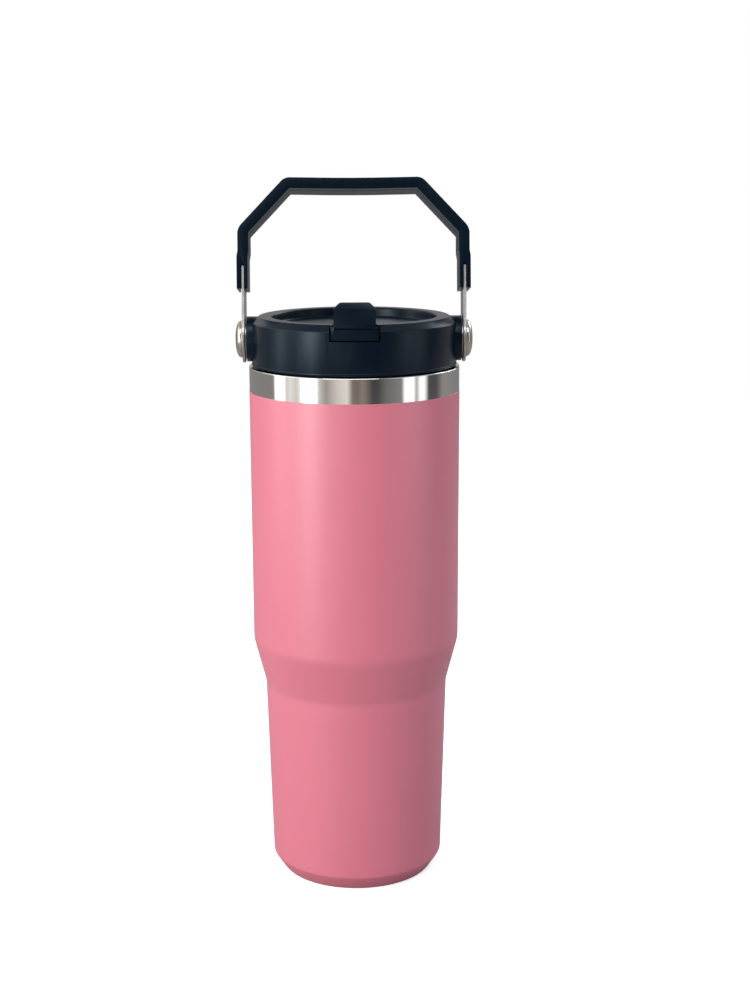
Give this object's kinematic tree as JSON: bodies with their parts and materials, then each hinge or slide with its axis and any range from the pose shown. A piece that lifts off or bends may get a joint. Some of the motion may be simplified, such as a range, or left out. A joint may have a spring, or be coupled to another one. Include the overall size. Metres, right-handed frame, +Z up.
{
  "type": "insulated tumbler with lid",
  "caption": "Double-wall steel tumbler with a stepped, powder-coated body, a screw lid with a flip-up spout and straw, and a swinging carry handle.",
  "frame": {"origin": "centre of the base, on the surface that the tumbler stands on", "axes": "+Z up along the cup's axis, -Y towards the spout's thumb tab (the front), X along the handle's pivots"},
  "size_m": [0.101, 0.0902, 0.3051],
  "materials": {
    "steel": "polished at the bare rim, fine turned grain inside",
    "pink_coat": "satin powder coat with a fine orange-peel texture",
    "solder": "dull grey",
    "silicone": "matt translucent silicone",
    "navy_plastic": "satin moulded plastic, dark navy",
    "dark_plastic": "plain moulded plastic",
    "straw_plastic": "smoke-tinted, smooth",
    "brass": "knurled insert",
    "strap_steel": "satin, brushed along its length",
    "screw_steel": "satin, slightly warm",
    "grip_inlay": "softer matt plastic"
  },
  "bodies": {
    "cup": {"outer_shell": "steel", "powder_coat": "pink_coat", "inner_liner": "steel", "base_cap": "steel", "vacuum_plug": "solder", "getter": "solder"},
    "gasket": {"lid_gasket": "silicone"},
    "lid": {"lid_shell": "navy_plastic", "lid_plug": "dark_plastic", "spout_seal": "silicone", "vent_valve": "silicone", "straw": "straw_plastic", "insert_nut_left": "brass", "insert_nut_right": "brass", "friction_washer_left": "strap_steel", "friction_washer_right": "strap_steel", "pivot_screw_left": "screw_steel", "pivot_screw_right": "screw_steel"},
    "spout": {"flip_spout": "navy_plastic"},
    "handle": {"strap_left": "strap_steel", "strap_right": "strap_steel", "grip_outer": "navy_plastic", "grip_inner": "grip_inlay"}
  },
  "joints": [
    {"name": "lid_rise", "type": "slide", "parent": "cup", "child": "gasket", "axis": [0, 0, 1], "range_m": [0, 0.01]},
    {"name": "lid_turn", "type": "hinge", "parent": "gasket", "child": "lid", "pos_m": [0, 0, 0.2374], "axis": [0, 0, 1], "range_deg": [0, 300]},
    {"name": "spout_flip", "type": "hinge", "parent": "lid", "child": "spout", "pos_m": [0, 0.002, 0.239], "axis": [-1, 0, 0], "range_deg": [0, 90]},
    {"name": "handle_swing", "type": "hinge", "parent": "lid", "child": "handle", "pos_m": [0, 0, 0.2374], "axis": [1, 0, 0], "range_deg": [-114, 134]}
  ],
  "couplings": [
    {"joint": "lid_rise", "follows": "lid_turn", "m_per_rad": 0.0019099}
  ]
}
